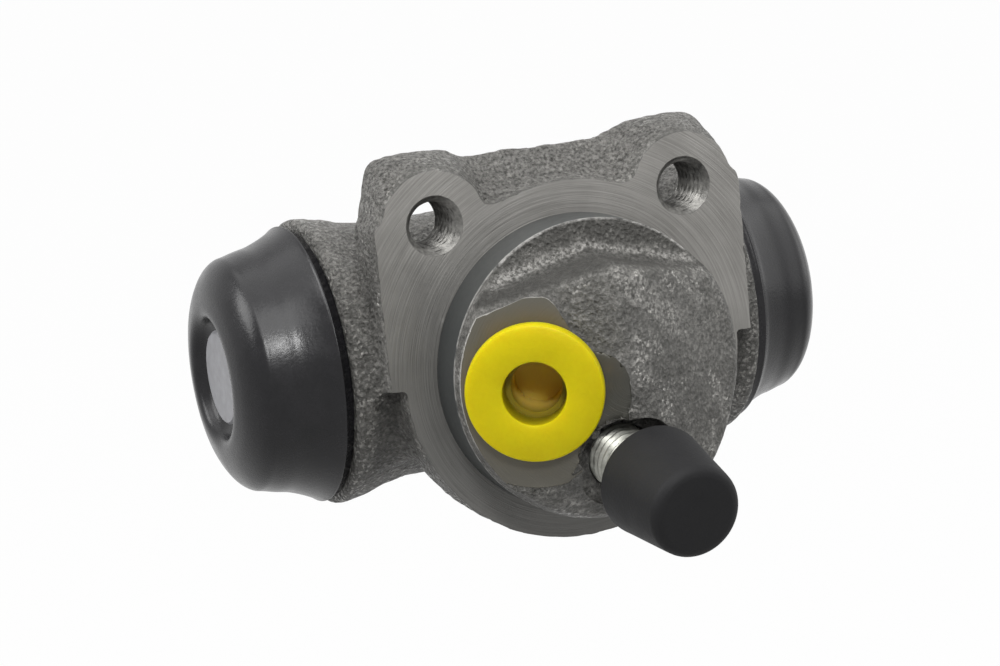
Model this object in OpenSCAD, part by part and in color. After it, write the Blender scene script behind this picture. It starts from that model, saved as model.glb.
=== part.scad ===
// Wheel cylinder of a drum brake: two opposed pistons in a cast iron body.
// Sizes in millimetres. X runs along the bore, -Y points out of the mounting face,
// +Z points towards the two bolt holes. The origin is the spigot centre on the mounting face.

/* [Bore and barrel] */
// Diameter of the bore
bore_d = 19.05; // [17.4:0.05:20.7]
// Depth of the bore axis behind the mounting face
bore_depth = 19; // [18:0.5:22]
// Height of the bore axis over the spigot axis
bore_rise = 0.8; // [-1:0.1:2]
// Outer diameter of the cast barrel in its middle
barrel_d = 28.6; // [27.6:0.2:30]
// Outer diameter of the cast collar at each end of the barrel
collar_d = 32; // [31.4:0.1:33]
// Length of the tapered collar
collar_l = 9; // [7:0.5:11]
// Length of the cast barrel between the boot shoulders
barrel_l = 48; // [46:1:54]
// Length of the turned neck under each boot
neck_l = 4.5; // [4:0.1:6]
// Diameter of the turned neck
neck_d = 24.4; // [24:0.1:26]
// Width of the groove that holds the boot bead
bead_groove_w = 1.8; // [1.4:0.1:2.2]
// Depth of the groove that holds the boot bead
bead_groove_depth = 0.7; // [0.4:0.1:0.9]
// Chamfer at each mouth of the bore
bore_chamfer = 0.6; // [0.3:0.1:1]

/* [Flange] */
// Outer diameter of the faced ring
ring_d = 39.2; // [38:0.2:42]
// Thickness of the flange behind the face
flange_t = 7; // [6:0.5:8]
// Width across the two ears
ear_w = 42.4; // [41.5:0.1:45]
// Radius of the ear lobe around each bolt hole
lobe_r = 5.8; // [5.2:0.1:6.2]
// Growth of the cast outline from the face to the back of the flange
cast_draft = 2.8; // [2:0.1:3]
// Height of the square top of each ear over the spigot axis
ear_top = 24.3; // [24:0.1:24.6]
// Narrowing of each ear towards its top corner
ear_taper = 2.1; // [1.5:0.1:2.5]
// Height of the straight web between the ears, at the back of the flange
web_top = 23.4; // [22.4:0.1:23.8]
// Radius of the hollow corner between ring and ear
ear_fillet = 2.5; // [1.5:0.1:3]
// Distance between the two bolt holes
bolt_spacing = 29; // [28:0.5:31]
// Height of the bolt holes over the spigot axis
bolt_rise = 16.9; // [16.5:0.1:17.5]
// Minor diameter of the tapped bolt holes
bolt_hole_d = 5; // [4.2:0.1:5.2]
// Diameter of the chamfer at the mouth of each bolt hole
bolt_mouth_d = 6.3; // [6:0.1:6.6]

/* [Spigot and raised block] */
// Diameter of the turned spigot
spigot_d = 32; // [31:0.5:33]
// Height of the full round wall of the spigot
spigot_h = 5; // [4:0.5:5.5]
// Step of the raised block in from the spigot wall
block_relief = 0.3; // [0.2:0.05:0.5]
// Height of the ridge of the raised block
ridge_h = 15.4; // [14.8:0.1:16]
// Fall of the cast side of the block away from the ridge, in degrees
roof_angle = 27.5; // [25:0.5:29]
// Lean of the roof back above the spigot axis, in degrees
roof_lean = 9; // [7:0.5:11]
// Height of the top wall of the block over the spigot axis, at its peak
block_top = 12.3; // [11.8:0.1:12.6]
// Fall of the top wall towards the far side, in degrees
edge_fall = 16; // [12:1:18]
// Fall of the top wall towards the inlet side, in degrees
inlet_fall = 11; // [9:1:13]
// Fillet between the spigot face and the top wall
foot_fillet = 3; // [2.4:0.1:3.2]
// Depth of the level roof under the spigot axis
roof_drop = 5; // [4:0.5:6]
// Height of the block above the face at its lower rim
lower_rim_h = 7.5; // [6.5:0.5:8]

/* [Inlet] */
// Position of the inlet axis along the bore, on the boss face
inlet_x = -9.1; // [-9.6:0.1:-8.8]
// Height of the boss face above the mounting face, at the inlet axis
inlet_h = 10.3; // [10:0.1:10.6]
// Lean of the inlet axis, in degrees
inlet_lean = 26.8; // [25:0.2:28]
// Height of the boss over the inlet axis
boss_up = 9.8; // [9:0.1:10]
// Depth of the boss under the inlet axis
boss_down = 10.6; // [10:0.1:11]
// Radius of the spot face around the inlet
spot_r = 10.3; // [10:0.1:10.6]
// Minor diameter of the tapped inlet port
port_d = 9; // [8.6:0.1:9.4]
// Depth of the tapped inlet port
port_depth = 10; // [9.5:0.1:10.5]
// Diameter of the drilled inlet passage
passage_d = 3; // [2.5:0.1:3.5]

/* [Bleed screw] */
// Height of the bleed axis, at the mounting face
bleed_rise = -7.5; // [-7.8:0.05:-7.3]
// Lean of the bleed axis, in degrees
bleed_lean = 8; // [7:0.1:9]
// Distance from the mounting face to the bleed seat face
bleed_seat_h = 9.6; // [9:0.1:10]
// Radius of the bleed seat face
bleed_pocket_r = 5.5; // [5:0.1:6]
// Diameter of the bleed screw thread
bleed_d = 7; // [6:0.1:7.2]
// Length of thread inside the casting
bleed_grip = 9; // [8:0.5:10]
// Bare thread between the seat face and the hexagon
bleed_bare = 8.2; // [7.8:0.1:9]
// Size of the hexagon across flats
hex_af = 7; // [6.8:0.1:7.2]
// Length of the hexagon
hex_l = 3.4; // [3:0.1:3.6]
// Diameter of the nipple barb
barb_d = 6.2; // [5.8:0.1:6.4]
// Length of the nipple beyond the hexagon
nipple_l = 5; // [4.5:0.1:5.5]
// Diameter of the drilled bleed passage
bleed_passage_d = 2; // [1.6:0.1:2.4]

/* [Bleed cap] */
// Distance from the seat face to the mouth of the cap
cap_base = 8; // [7.7:0.1:8.1]
// Length of the cap
cap_l = 10.5; // [10:0.1:11.2]
// Diameter of the cap at its mouth
cap_base_d = 12; // [11.6:0.1:12.4]
// Diameter of the cap near its end
cap_tip_d = 9.8; // [9.4:0.1:10.2]
// Rounding of the closed end
cap_round = 1.2; // [0.8:0.1:1.4]

/* [Inlet plug] */
// Diameter of the plug flange
plug_d = 14.5; // [14:0.1:15]
// Thickness of the plug flange
plug_t = 2; // [1.6:0.1:2.4]
// Length of the plug stem
plug_stem_l = 8; // [7:0.5:9]
// Diameter of the open hollow in the plug
plug_hole_d = 6.6; // [6.2:0.1:7]
// Depth of the wide part of the hollow
plug_step = 3.6; // [3:0.1:4]

/* [Pistons and seals] */
// Running clearance between piston and bore, on the radius
piston_clearance = 0.035; // [0.02:0.005:0.06]
// Position of the inner face of each piston
piston_inner = 10.5; // [10:0.5:11.5]
// Position of the piston shoulder
piston_shoulder = 27.8; // [27:0.1:28]
// Diameter of the piston nose
nose_d = 10.5; // [10:0.1:10.8]
// Position of the nose face
nose_face = 34.2; // [34:0.1:34.6]
// Position of the groove for the boot lip
lip_groove_x = 31; // [30.8:0.1:31.2]
// Width of the groove for the boot lip
lip_groove_w = 2; // [1.6:0.1:2.2]
// Depth of the groove for the boot lip
lip_groove_depth = 0.7; // [0.5:0.1:0.8]
// Thickness of the cup base
cup_base_t = 2.6; // [2.2:0.1:2.8]
// Length of the cup lip
cup_lip_l = 2.6; // [2.4:0.1:2.8]
// Thickness of the cup lip at its root
cup_wall = 1.6; // [1.4:0.1:1.8]
// Thickness of the pressed steel expander
expander_t = 0.7; // [0.6:0.05:0.8]
// Wire diameter of the return spring
wire_d = 1; // [0.8:0.1:1.2]
// Mean diameter of the return spring
coil_d = 9.6; // [9:0.1:10]
// Number of turns of the return spring
coil_turns = 6; // [5:0.5:7]

/* [Boots] */
// Diameter of the boot at the edge of its flared rim
boot_rim_d = 30.8; // [30:0.2:33]
// Width of the boot rim
boot_rim_w = 1.1; // [0.8:0.1:1.6]
// Fall of the rim from its edge towards the barrel, on the radius
boot_rim_fall = 0.6; // [0.3:0.1:0.8]
// Diameter of the boot at its waist, where the dome starts
boot_dome_d = 26.8; // [26.4:0.2:28]
// Position of the waist, where the dome starts
boot_dome_x = 30.4; // [29.8:0.1:30.8]
// Diameter of the boot mouth at its outer roll
boot_mouth_d = 13; // [12.6:0.1:13.4]
// Position of the outermost roll of the boot
boot_end = 35.3; // [35.2:0.1:36]
// Wall thickness of the boot
boot_wall = 1.5; // [1.3:0.1:1.6]
// Clearance between a rubber piece and what it sits on
rubber_gap = 0.04; // [0.02:0.01:0.06]

/* [Hidden] */
$fn = 72;
bore_r = bore_d / 2;
barrel_r = barrel_d / 2;
collar_r = collar_d / 2;
barrel_half = barrel_l / 2;
neck_end = barrel_half + neck_l;
neck_r = neck_d / 2;
bead_r = neck_r - bead_groove_depth;
bead_x = barrel_half + (neck_l - bead_groove_w) / 2;
spigot_r = spigot_d / 2;
block_r = spigot_r - block_relief;
fillet_bite = foot_fillet / 30;
ring_r = ring_d / 2;
ear_half = ear_w / 2;
bolt_x = bolt_spacing / 2;
back_lobe_r = lobe_r + cast_draft;
collar_edge = 0.5;
thread_r = bleed_d / 2;
thread_gap = 0.03;
seat_cone = 2;
stem_gap = 0.05;
nose_r = nose_d / 2;
lip_groove_r = nose_r - lip_groove_depth;
cup_face = piston_inner - cup_base_t;
cup_edge = cup_face - cup_lip_l;
expander_seat = cup_face - rubber_gap - expander_t;
cone_reach = 60;
inlet_reach = (inlet_h + bore_depth) / cos(inlet_lean);
bleed_reach = bleed_seat_h + bore_depth / cos(bleed_lean);
eps = 0.01;
dome_steps = 9;
flare_steps = 6;
wire_sides = 8;
turn_steps = 16;

// Puts a shape drawn along Z onto the bore axis, Z becoming +X
module on_bore() {
    translate([0, bore_depth, bore_rise]) rotate([0, 90, 0]) children();
}

// Puts a shape drawn along Z in front of the mounting face, Z becoming -Y
module in_front() {
    rotate([90, 0, 0]) children();
}

// Puts a shape drawn along Z onto the inlet axis, Z = 0 on the boss face
module on_inlet() {
    translate([inlet_x, -inlet_h, 0]) rotate([0, 0, -inlet_lean]) in_front() children();
}

// Puts a shape drawn along Z onto the bleed axis, Z = 0 on the seat face
module on_bleed() {
    translate([0, 0, bleed_rise]) rotate([bleed_lean, 0, 0]) in_front()
        translate([0, 0, bleed_seat_h]) children();
}

// Turns a profile of [radius, height] points
module turned(points) {
    rotate_extrude() polygon(points);
}

// Barrel with a turned neck and bead groove at each end
module barrel() {
    for (side = [0, 1]) mirror([side, 0, 0]) on_bore() turned([
        [0, 0],
        [barrel_r, 0],
        [barrel_r, barrel_half - collar_l],
        [collar_r, barrel_half - collar_edge],
        [collar_r - collar_edge, barrel_half],
        [neck_r, barrel_half],
        [neck_r, bead_x],
        [bead_r, bead_x],
        [bead_r, bead_x + bead_groove_w],
        [neck_r, bead_x + bead_groove_w],
        [neck_r, neck_end],
        [0, neck_end]
    ]);
}

// Cast outline of one ear: a lobe that widens from the face to a square-topped back
module ear() {
    intersection() {
        translate([bolt_x, 0, bolt_rise]) rotate([-90, 0, 0])
            cylinder(r1 = lobe_r, r2 = back_lobe_r, h = flange_t);
        in_front() translate([0, 0, -flange_t]) linear_extrude(flange_t) polygon([
            [0, 0],
            [ear_half, 0],
            [ear_half, bolt_rise],
            [ear_half - ear_taper, ear_top],
            [0, ear_top]
        ]);
    }
}

// Hollow corner between the ring and one ear: a triangle less the fillet circle
module ear_corner() {
    near = ring_r + ear_fillet;
    far = lobe_r + ear_fillet;
    span = norm([bolt_x, bolt_rise]);
    turn = atan2(bolt_rise, bolt_x) + acos((near * near + span * span - far * far) / (2 * near * span));
    centre = [near * cos(turn), near * sin(turn)];
    difference() {
        polygon([[0, 0], [bolt_x, bolt_rise], centre]);
        translate(centre) circle(r = ear_fillet);
    }
}

// Flange: faced ring, two ears and the sloping web between them
module flange() {
    in_front() translate([0, 0, -flange_t]) cylinder(r = ring_r, h = flange_t);
    for (side = [0, 1]) mirror([side, 0, 0]) {
        ear();
        in_front() translate([0, 0, -flange_t]) linear_extrude(flange_t) ear_corner();
    }
    in_front() translate([0, 0, -flange_t]) linear_extrude(flange_t) polygon([
        [-ear_half, 0],
        [ear_half, 0],
        [ear_half, bolt_rise + lobe_r / 5],
        [bolt_x + lobe_r * cos(35), bolt_rise + lobe_r * sin(35)],
        [bolt_x, bolt_rise],
        [-bolt_x, bolt_rise],
        [-bolt_x - lobe_r * cos(35), bolt_rise + lobe_r * sin(35)],
        [-ear_half, bolt_rise + lobe_r / 5]
    ]);
    rotate([90, 0, 90]) translate([0, 0, -bolt_x]) linear_extrude(bolt_spacing) polygon([
        [0, 0],
        [0, bolt_rise],
        [flange_t, web_top],
        [flange_t, 0]
    ]);
}

// Roof of the raised block: two cast sides that fall away from a ridge across the spigot
module gable() {
    fall = tan(roof_angle);
    translate([0, 0, -cone_reach]) linear_extrude(2 * cone_reach) polygon([
        [-cone_reach, cone_reach],
        [-cone_reach, -ridge_h + cone_reach * fall],
        [0, -ridge_h],
        [cone_reach, -ridge_h + cone_reach * fall],
        [cone_reach, cone_reach]
    ]);
}

// Raised block: a roof that leans back above the axis, with a falling top wall and a lower rim
module roof_block() {
    intersection() {
        in_front() cylinder(r = block_r, h = cone_reach);
        gable();
        translate([0, -ridge_h, 0]) rotate([-roof_lean, 0, 0]) translate([0, ridge_h, 0]) gable();
        in_front() linear_extrude(cone_reach) polygon([
            [-spigot_r, -spigot_r],
            [-spigot_r, block_top - spigot_r * tan(inlet_fall)],
            [0, block_top],
            [spigot_r, block_top - spigot_r * tan(edge_fall)],
            [spigot_r, -spigot_r]
        ]);
        rotate([90, 0, 90]) translate([0, 0, -spigot_r]) linear_extrude(spigot_d) polygon([
            [0, spigot_r],
            [-ridge_h - eps, spigot_r],
            [-ridge_h - eps, -roof_drop],
            [-lower_rim_h, -spigot_r],
            [0, -spigot_r]
        ]);
    }
}

// Strip along one half of the top wall, which falls by an angle from the peak
module fillet_strip(fall) {
    translate([0, 0, block_top]) rotate([0, fall, 0])
        translate([-foot_fillet, -spigot_h - foot_fillet, -eps])
            cube([spigot_d, foot_fillet + spigot_h, foot_fillet + eps]);
}

// Round that hollows the strip; it bites a little into both walls, so that its edges end cleanly
module fillet_round(fall) {
    translate([0, 0, block_top]) rotate([0, fall, 0])
        translate([-2 * foot_fillet, -spigot_h - foot_fillet + fillet_bite, foot_fillet - fillet_bite])
            rotate([0, 90, 0]) cylinder(r = foot_fillet, h = spigot_d + 2 * foot_fillet);
}

// Fillet at the foot of the top wall, over the peak from one side to the other
module top_fillet() {
    intersection() {
        in_front() cylinder(r = block_r, h = cone_reach);
        difference() {
            union() {
                fillet_strip(edge_fall);
                mirror([1, 0, 0]) fillet_strip(inlet_fall);
            }
            fillet_round(edge_fall);
            mirror([1, 0, 0]) fillet_round(inlet_fall);
        }
    }
}

// Inlet boss: a pad square to the inlet axis, trimmed to the circle of the block
module inlet_boss() {
    intersection() {
        in_front() cylinder(r = block_r, h = cone_reach);
        on_inlet() translate([0, 0, -inlet_h]) linear_extrude(inlet_h) polygon([
            [-spot_r, boss_up - spot_r / 3],
            [0, boss_up],
            [boss_up / 4, boss_up * 0.95],
            [spot_r * 0.55, boss_up * 0.47],
            [spot_r * 0.8, boss_up * 0.28],
            [spot_r * 0.8, -boss_down * 0.4],
            [spot_r * 0.45, -boss_down * 0.57],
            [boss_up / 5, -boss_down],
            [-spot_r, -boss_down]
        ]);
        translate([-cone_reach / 2, -cone_reach, -cone_reach / 2]) cube(cone_reach);
    }
}

// The one-piece casting with its machined holes
module cylinder_body() {
    color("dimgray") difference() {
        union() {
            barrel();
            flange();
            in_front() translate([0, 0, -flange_t]) cylinder(r = spigot_r, h = flange_t + spigot_h);
            roof_block();
            top_fillet();
            inlet_boss();
        }
        on_bore() turned([
            [0, -neck_end - eps],
            [bore_r + bore_chamfer, -neck_end - eps],
            [bore_r, -neck_end + bore_chamfer],
            [bore_r, neck_end - bore_chamfer],
            [bore_r + bore_chamfer, neck_end + eps],
            [0, neck_end + eps]
        ]);
        for (side = [-1, 1]) translate([side * bolt_x, 0, bolt_rise]) rotate([-90, 0, 0]) {
            translate([0, 0, -eps]) cylinder(d = bolt_hole_d, h = flange_t + bolt_hole_d / 2);
            translate([0, 0, -eps])
                cylinder(d1 = bolt_mouth_d, d2 = bolt_hole_d, h = (bolt_mouth_d - bolt_hole_d) / 2);
        }
        on_inlet() cylinder(r = spot_r, h = port_depth);
        on_inlet() turned([
            [0, -inlet_reach],
            [passage_d / 2, -inlet_reach],
            [passage_d / 2, -port_depth - port_d / 8],
            [port_d / 2, -port_depth],
            [port_d / 2, -stem_gap * 10],
            [port_d / 2 + stem_gap * 10, 0],
            [port_d / 2 + stem_gap * 10, eps],
            [0, eps]
        ]);
        on_bleed() cylinder(r = bleed_pocket_r, h = cone_reach);
        on_bleed() turned([
            [0, -bleed_reach],
            [bleed_passage_d / 2, -bleed_reach],
            [bleed_passage_d / 2, -bleed_grip - seat_cone - thread_gap * 3],
            [thread_r + thread_gap, -bleed_grip - thread_gap * 3],
            [thread_r + thread_gap, eps],
            [0, eps]
        ]);
    }
}

// Piston with its guide skirt, nose and boot groove
module piston() {
    skirt_r = bore_r - piston_clearance;
    on_bore() turned([
        [0, piston_inner],
        [skirt_r - bore_chamfer, piston_inner],
        [skirt_r, piston_inner + bore_chamfer],
        [skirt_r, piston_shoulder - bore_chamfer],
        [skirt_r - bore_chamfer, piston_shoulder],
        [nose_r, piston_shoulder],
        [nose_r, lip_groove_x],
        [lip_groove_r, lip_groove_x],
        [lip_groove_r, lip_groove_x + lip_groove_w],
        [nose_r, lip_groove_x + lip_groove_w],
        [nose_r, nose_face - bore_chamfer / 2],
        [nose_r - bore_chamfer / 2, nose_face],
        [0, nose_face]
    ]);
}

module left_piston() {
    color("silver") mirror([1, 0, 0]) piston();
}

module right_piston() {
    color("silver") piston();
}

// Seal cup: a flat base on the piston and a lip that follows the bore
module piston_cup() {
    lip_r = bore_r - rubber_gap;
    on_bore() turned([
        [0, piston_inner - rubber_gap],
        [lip_r - bore_chamfer / 2, piston_inner - rubber_gap],
        [lip_r - bore_chamfer / 2, cup_face],
        [lip_r, cup_edge],
        [lip_r - cup_wall / 2, cup_edge],
        [lip_r - cup_wall, cup_face],
        [0, cup_face]
    ]);
}

module left_piston_cup() {
    color("black") mirror([1, 0, 0]) piston_cup();
}

module right_piston_cup() {
    color("black") piston_cup();
}

// Expander: a pressed dish whose skirt spreads the cup lip
module cup_expander() {
    foot_r = bore_r - rubber_gap * 2 - cup_wall;
    rim_r = bore_r - rubber_gap * 2 - cup_wall / 2;
    on_bore() turned([
        [0, cup_face - rubber_gap],
        [foot_r - rubber_gap, cup_face - rubber_gap],
        [rim_r - rubber_gap, cup_edge],
        [rim_r - rubber_gap - expander_t, cup_edge],
        [foot_r - rubber_gap - expander_t, expander_seat],
        [0, expander_seat]
    ]);
}

module left_cup_expander() {
    color("lightsteelblue") mirror([1, 0, 0]) cup_expander();
}

module right_cup_expander() {
    color("lightsteelblue") cup_expander();
}

// Coil spring swept point by point between the two expanders
module return_spring() {
    half = expander_seat - wire_d / 2 - rubber_gap;
    count = floor(coil_turns * turn_steps);
    points = [for (i = [0:count]) for (j = [0:wire_sides - 1])
        let (turn = 360 * i / turn_steps, side = 360 * j / wire_sides)
        let (r = coil_d / 2 + wire_d / 2 * cos(side))
        [r * cos(turn), r * sin(turn), -half + 2 * half * i / count + wire_d / 2 * sin(side)]];
    sides = [for (i = [0:count - 1]) for (j = [0:wire_sides - 1])
        [i * wire_sides + j, (i + 1) * wire_sides + j,
         (i + 1) * wire_sides + (j + 1) % wire_sides, i * wire_sides + (j + 1) % wire_sides]];
    near_end = [[for (j = [0:wire_sides - 1]) j]];
    far_end = [[for (j = [wire_sides - 1:-1:0]) count * wire_sides + j]];
    color("slategray") on_bore() polyhedron(points, concat(sides, near_end, far_end));
}

// Dust boot: bead in the neck groove, flared rim, dome and a lip in the nose groove
module dust_boot() {
    rim_x = barrel_half + rubber_gap;
    rim_r = boot_rim_d / 2;
    dome_r = boot_dome_d / 2;
    mouth_r = boot_mouth_d / 2;
    reach = boot_end - boot_dome_x;
    seat_r = neck_r + rubber_gap;
    inner_r = dome_r - boot_wall;
    inner_reach = reach - boot_wall * 1.6;
    hole_r = nose_r + rubber_gap;
    lip_far = lip_groove_x + lip_groove_w - rubber_gap;
    edge_x = rim_x + boot_rim_w;
    flare = [for (i = [0:flare_steps - 1]) let (t = i / flare_steps)
        [dome_r + (rim_r - dome_r) * pow(1 - t, 2), edge_x + (boot_dome_x - edge_x) * t]];
    outer = [for (i = [0:dome_steps]) let (a = 90 * i / dome_steps)
        [mouth_r + (dome_r - mouth_r) * cos(a), boot_dome_x + reach * sin(a)]];
    inner = [for (i = [dome_steps:-1:0]) let (a = 90 * i / dome_steps)
        [mouth_r + (inner_r - mouth_r) * cos(a), boot_dome_x + inner_reach * sin(a)]];
    mouth = [
        [mouth_r - boot_wall / 3, boot_end - boot_wall / 6],
        [hole_r, lip_groove_x + lip_groove_w + boot_wall / 3],
        [hole_r, lip_far],
        [lip_groove_r + rubber_gap, lip_far],
        [lip_groove_r + rubber_gap, lip_groove_x + rubber_gap],
        [hole_r + boot_wall / 3, lip_groove_x + rubber_gap]
    ];
    neck = [
        [seat_r, neck_end + boot_wall / 3],
        [seat_r, bead_x + bead_groove_w - rubber_gap],
        [bead_r + rubber_gap, bead_x + bead_groove_w - rubber_gap],
        [bead_r + rubber_gap, bead_x + rubber_gap],
        [seat_r, bead_x + rubber_gap],
        [seat_r, rim_x]
    ];
    rim = [[rim_r - boot_rim_fall, rim_x]];
    on_bore() turned(concat(rim, flare, outer, mouth, inner, neck));
}

module left_dust_boot() {
    color([0.08, 0.08, 0.08]) mirror([1, 0, 0]) dust_boot();
}

module right_dust_boot() {
    color([0.08, 0.08, 0.08]) dust_boot();
}

// Bleed screw: cone tip, thread, hexagon and barbed nipple, drilled through
module bleed_screw() {
    hex_end = bleed_bare + hex_l;
    nipple_end = hex_end + nipple_l;
    neck = barb_d / 2 - 0.6;
    color("gainsboro") on_bleed() difference() {
        union() {
            turned([
                [0, -bleed_grip - seat_cone],
                [bleed_passage_d / 2, -bleed_grip - seat_cone],
                [thread_r, -bleed_grip],
                [thread_r, bleed_bare],
                [neck, bleed_bare],
                [neck, hex_end + nipple_l / 3],
                [barb_d / 2, hex_end + nipple_l / 3],
                [neck - 0.4, nipple_end],
                [0, nipple_end]
            ]);
            translate([0, 0, bleed_bare]) cylinder(d = hex_af / cos(30), h = hex_l, $fn = 6);
        }
        translate([0, 0, -bleed_grip + 1]) cylinder(d = bleed_passage_d, h = cone_reach);
        translate([0, 0, -bleed_grip + 2]) rotate([0, 90, 0])
            cylinder(d = bleed_passage_d * 0.8, h = bleed_d * 2, center = true);
    }
}

// Rubber cap over the nipple and the hexagon
module bleed_screw_cap() {
    hex_r = hex_af / cos(30) / 2 + rubber_gap;
    hex_top = bleed_bare + hex_l + rubber_gap;
    cap_end = cap_base + cap_l;
    base_r = cap_base_d / 2;
    tip_r = cap_tip_d / 2;
    pocket_r = barb_d / 2 + rubber_gap;
    pocket_end = bleed_bare + hex_l + nipple_l + rubber_gap;
    rounding = [for (i = [0:4]) let (a = 90 * i / 4)
        [tip_r - cap_round + cap_round * cos(a), cap_end - cap_round + cap_round * sin(a)]];
    color([0.1, 0.1, 0.1]) on_bleed() turned(concat(
        [[hex_r, cap_base], [base_r, cap_base]],
        rounding,
        [[0, cap_end], [0, pocket_end], [pocket_r, pocket_end], [pocket_r, hex_top], [hex_r, hex_top]]
    ));
}

// Transport plug: a flange on the boss face and a hollow stem in the port
module inlet_plug() {
    stem_r = port_d / 2 - stem_gap;
    hole_r = plug_hole_d / 2;
    floor_t = plug_t * 0.75;
    color("gold") on_inlet() translate([0, 0, stem_gap]) turned([
        [0, -plug_stem_l],
        [stem_r - stem_gap * 10, -plug_stem_l],
        [stem_r, -plug_stem_l + stem_gap * 10],
        [stem_r, 0],
        [plug_d / 2, 0],
        [plug_d / 2, plug_t - stem_gap * 6],
        [plug_d / 2 - stem_gap * 6, plug_t],
        [hole_r, plug_t],
        [hole_r, plug_t - plug_step],
        [hole_r * 0.82, plug_t - plug_step],
        [hole_r * 0.82, -plug_stem_l + floor_t],
        [0, -plug_stem_l + floor_t]
    ]);
}

cylinder_body();
left_piston();
right_piston();
left_piston_cup();
right_piston_cup();
left_cup_expander();
right_cup_expander();
return_spring();
left_dust_boot();
right_dust_boot();
bleed_screw();
bleed_screw_cap();
inlet_plug();
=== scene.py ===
import bpy
import numpy as np
from mathutils import Matrix


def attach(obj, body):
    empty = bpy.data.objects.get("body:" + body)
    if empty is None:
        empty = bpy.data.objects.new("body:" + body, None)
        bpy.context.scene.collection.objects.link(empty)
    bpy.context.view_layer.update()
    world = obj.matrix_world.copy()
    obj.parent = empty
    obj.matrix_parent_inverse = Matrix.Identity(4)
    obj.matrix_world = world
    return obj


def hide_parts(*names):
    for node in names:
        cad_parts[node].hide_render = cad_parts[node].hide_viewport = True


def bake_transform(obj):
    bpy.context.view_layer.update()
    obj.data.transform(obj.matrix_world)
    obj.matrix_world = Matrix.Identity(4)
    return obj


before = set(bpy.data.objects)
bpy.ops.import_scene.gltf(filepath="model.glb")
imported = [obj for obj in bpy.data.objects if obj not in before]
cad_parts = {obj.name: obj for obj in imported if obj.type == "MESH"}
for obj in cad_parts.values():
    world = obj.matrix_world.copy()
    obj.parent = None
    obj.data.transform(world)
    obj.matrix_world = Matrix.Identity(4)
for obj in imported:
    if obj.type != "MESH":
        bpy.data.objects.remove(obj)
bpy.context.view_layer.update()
mm = 0.001
noiseMiddle = 0.5
print("frame loaded:", len(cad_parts), "nodes")


# wires are linked to a node's sockets, constants are set on the socket itself
def feed(node, inputs):
    for name, value in inputs.items():
        if isinstance(value, Wire):
            value.tree.links.new(value.socket, node.inputs[name])
        else:
            node.inputs[name].default_value = value


# a shader socket that can be added, multiplied and so on
class Wire:
    def __init__(self, tree, socket):
        self.tree = tree
        self.socket = socket

    def node(self, kind, settings, inputs, out=0):
        made = self.tree.nodes.new(kind)
        for key, value in settings.items():
            setattr(made, key, value)
        feed(made, inputs)
        return Wire(self.tree, made.outputs[out])

    def maths(self, operation, a, b=0.0):
        return self.node("ShaderNodeMath", {"operation": operation}, {0: a, 1: b})

    def __add__(self, other):
        return self.maths("ADD", self, other)

    def __radd__(self, other):
        return self.maths("ADD", other, self)

    def __sub__(self, other):
        return self.maths("SUBTRACT", self, other)

    def __rsub__(self, other):
        return self.maths("SUBTRACT", other, self)

    def __mul__(self, other):
        return self.maths("MULTIPLY", self, other)

    def __rmul__(self, other):
        return self.maths("MULTIPLY", other, self)

    def __pow__(self, other):
        return self.maths("POWER", self, other)

    def __abs__(self):
        return self.maths("ABSOLUTE", self)

    def larger(self, other):
        return self.maths("MAXIMUM", self, other)

    # 0 below low, 1 above high, smooth between
    def ramp(self, low, high):
        return self.node("ShaderNodeMapRange", {"interpolation_type": "SMOOTHSTEP"},
                         {"Value": self, "From Min": low, "From Max": high})

    # 1 below low, 0 above high
    def below(self, low, high):
        return 1 - self.ramp(low, high)

    # 1 close to zero on either side, 0 further off
    def near(self, low, high):
        return abs(self).below(low, high)

    def mixed(self, first, second):
        return self.node("ShaderNodeMix", {"data_type": "RGBA"}, {0: self, 6: first, 7: second}, 2)

    # lays a layer (strength, colour) over a tone where this mask is 1
    def tinted(self, tone, layer):
        strength, colour = layer
        return (self * strength).mixed(tone, (*colour, 1))

    # colour ramp through stops (place, colour)
    def toned(self, stops):
        made = self.node("ShaderNodeValToRGB", {}, {0: self})
        elements = made.socket.node.color_ramp.elements
        while len(elements) < len(stops):
            elements.new(0.5)
        for element, (place, colour) in zip(elements, stops):
            element.position = place
            element.color = (*colour, 1)
        return made

    def noise(self, scale, detail, rough):
        return self.node("ShaderNodeTexNoise", {},
                         {"Vector": self, "Scale": scale, "Detail": detail, "Roughness": rough})

    def cells(self, scale, out):
        return self.node("ShaderNodeTexVoronoi", {}, {"Vector": self, "Scale": scale}, out)

    def axes(self):
        parts = self.node("ShaderNodeSeparateXYZ", {}, {0: self}).socket.node.outputs
        return [Wire(self.tree, part) for part in parts]

    # height in millimetres to a normal
    def bumped(self, distance):
        return self.node("ShaderNodeBump", {}, {"Height": self, "Distance": distance * mm, "Strength": 1.0})


# a material, its shader and the place on the object in millimetres
def newMaterial(name):
    made = bpy.data.materials.new(name)
    made.use_nodes = True
    tree = made.node_tree
    coords = Wire(tree, tree.nodes.new("ShaderNodeTexCoord").outputs["Object"])
    place = coords.node("ShaderNodeMapping", {}, {0: coords, 3: (1 / mm, 1 / mm, 1 / mm)})
    return made, tree.nodes["Principled BSDF"], place


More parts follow.
